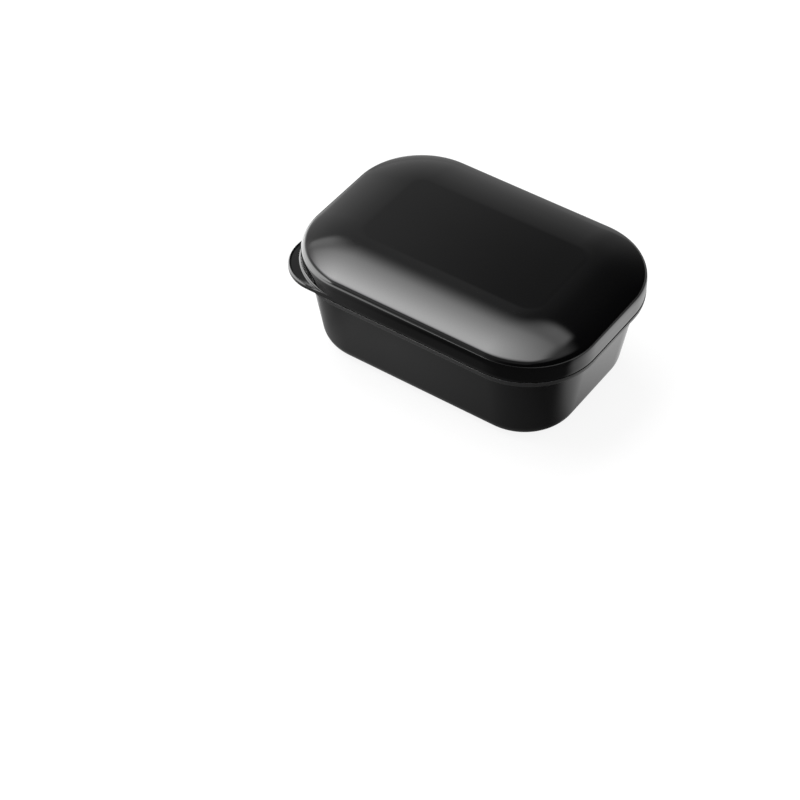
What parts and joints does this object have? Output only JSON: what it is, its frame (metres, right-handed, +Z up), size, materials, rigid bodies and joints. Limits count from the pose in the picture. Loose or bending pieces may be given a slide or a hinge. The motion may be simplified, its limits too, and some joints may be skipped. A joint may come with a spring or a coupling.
{
  "type": "travel soap box",
  "caption": "Rounded rectangular travel soap box: deep base with a ledge, domed press-fit lid with a finger tab at a corner, and a lift-out ribbed drain rack.",
  "frame": {"origin": "middle of the flat face that the box stands on", "axes": "+X along the length, +Y across the width, +Z up; the finger tab is at the -X, -Y corner"},
  "size_m": [0.115, 0.0804, 0.0479],
  "materials": {
    "base_plastic": "satin gloss black",
    "lid_plastic": "high gloss black",
    "rack_plastic": "satin gloss black"
  },
  "bodies": {
    "base": {"base": "base_plastic"},
    "lid": {"lid": "lid_plastic"},
    "drain_rack": {"drain_rack": "rack_plastic"}
  },
  "joints": [
    {"name": "lid_lift", "type": "slide", "parent": "base", "child": "lid", "axis": [0, 0, 1], "range_m": [0, 0.11]},
    {"name": "rack_lift", "type": "slide", "parent": "base", "child": "drain_rack", "axis": [0, 0, 1], "range_m": [0, 0.026]}
  ]
}
